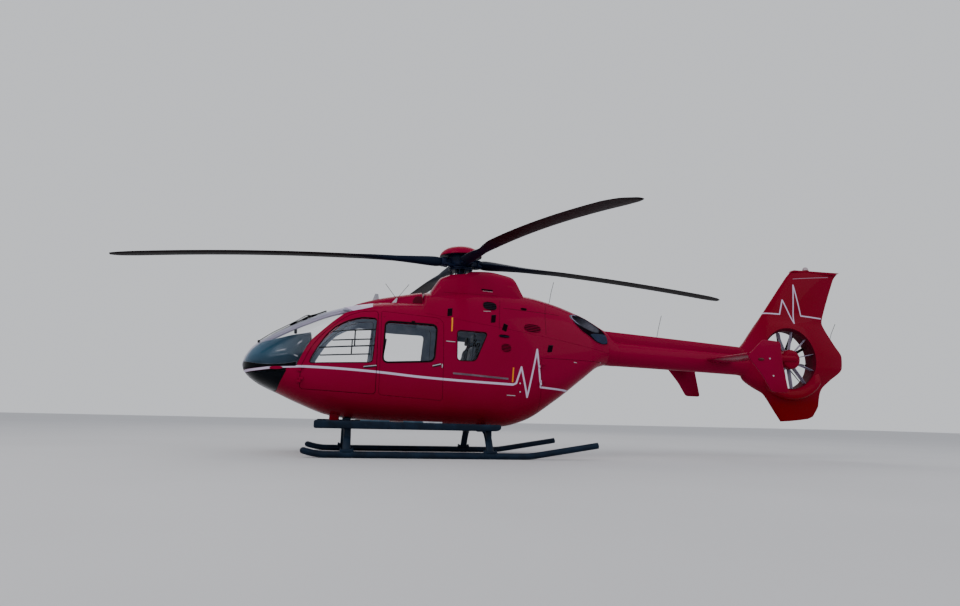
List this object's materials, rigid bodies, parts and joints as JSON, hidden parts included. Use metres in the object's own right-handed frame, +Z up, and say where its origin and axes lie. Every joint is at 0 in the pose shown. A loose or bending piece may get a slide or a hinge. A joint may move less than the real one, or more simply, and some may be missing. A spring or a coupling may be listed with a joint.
{
  "type": "light twin-engined helicopter",
  "caption": "Light twin-engined helicopter with a rigid main rotor, a shrouded tail fan, skid landing gear, hinged cockpit doors and rear clamshell doors.",
  "frame": {"origin": "on the ground under the middle of the overall length and width, with the blades as parked", "axes": "-X towards the nose, +X towards the tail, -Y port side, +Y starboard side, +Z up; the main rotor turns about +Z at x = -1.0 m"},
  "size_m": [12.1126, 10.1152, 3.32],
  "materials": {
    "red_paint": "gloss crimson lacquer with white stripes",
    "tinted_glass": "clear acrylic with a grey-green tint",
    "machine_metal": "satin cast and machined",
    "hot_metal": "heat-browned steel",
    "dark_hub": "dark satin paint over forgings and composite",
    "rotor_blade": "satin black composite",
    "gear_paint": "satin blue-black",
    "seat_cloth": "dark woven cloth",
    "black_plastic": "matt black"
  },
  "bodies": {
    "airframe": {"belly": "red_paint", "cockpit_frame": "red_paint", "aft_fuselage": "red_paint", "windshield_left": "tinted_glass", "windshield_right": "tinted_glass", "chin_window_left": "tinted_glass", "chin_window_right": "tinted_glass", "sliding_window_left": "tinted_glass", "sliding_window_right": "tinted_glass", "aft_window_left": "tinted_glass", "aft_window_right": "tinted_glass", "sliding_door_left": "red_paint", "sliding_door_right": "red_paint", "main_cowling": "red_paint", "mast_fairing": "red_paint", "forward_fairing": "red_paint", "engine_left": "machine_metal", "engine_right": "machine_metal", "exhaust_left": "hot_metal", "exhaust_right": "hot_metal", "main_gearbox": "machine_metal", "tail_boom": "red_paint", "drive_shaft_cover": "red_paint", "stabilizer": "red_paint", "end_plate_left": "red_paint", "end_plate_right": "red_paint", "tail_fin": "red_paint", "fan_stator": "red_paint", "skid_left": "gear_paint", "skid_right": "gear_paint", "front_cross_tube": "gear_paint", "rear_cross_tube": "gear_paint", "step_left": "gear_paint", "step_right": "gear_paint", "pilot_seat_left": "seat_cloth", "pilot_seat_right": "seat_cloth", "instrument_panel": "black_plastic", "attendant_seats": "seat_cloth", "stretcher": "seat_cloth"},
    "main_rotor": {"rotor_hub": "dark_hub", "rotor_cap": "red_paint", "rotor_blade_1": "rotor_blade", "rotor_blade_2": "rotor_blade", "rotor_blade_3": "rotor_blade", "rotor_blade_4": "rotor_blade", "swashplate": "dark_hub"},
    "tail_fan": {"fan_rotor": "machine_metal"},
    "cockpit_door_left": {"cockpit_door_left": "red_paint", "cockpit_window_left": "tinted_glass"},
    "cockpit_door_right": {"cockpit_door_right": "red_paint", "cockpit_window_right": "tinted_glass"},
    "cargo_door_left": {"cargo_door_left": "red_paint"},
    "cargo_door_right": {"cargo_door_right": "red_paint"}
  },
  "joints": [
    {"name": "rotor_spin", "type": "hinge", "parent": "airframe", "child": "main_rotor", "pos_m": [-1, 0, 3.04], "axis": [0, 0, 1], "continuous": true},
    {"name": "fan_spin", "type": "hinge", "parent": "airframe", "child": "tail_fan", "pos_m": [4.85, 0, 1.69], "axis": [0, 1, 0], "continuous": true},
    {"name": "cockpit_door_left_hinge", "type": "hinge", "parent": "airframe", "child": "cockpit_door_left", "pos_m": [-3.395, -0.708, 1.1], "axis": [0, 0, -1], "range_deg": [0, 80]},
    {"name": "cockpit_door_right_hinge", "type": "hinge", "parent": "airframe", "child": "cockpit_door_right", "pos_m": [-3.395, 0.708, 1.1], "axis": [0, 0, 1], "range_deg": [0, 80]},
    {"name": "cargo_door_left_hinge", "type": "hinge", "parent": "airframe", "child": "cargo_door_left", "pos_m": [0.155, -0.716, 1.2], "axis": [0, 0, -1], "range_deg": [0, 95]},
    {"name": "cargo_door_right_hinge", "type": "hinge", "parent": "airframe", "child": "cargo_door_right", "pos_m": [0.155, 0.716, 1.2], "axis": [0, 0, 1], "range_deg": [0, 95]}
  ]
}
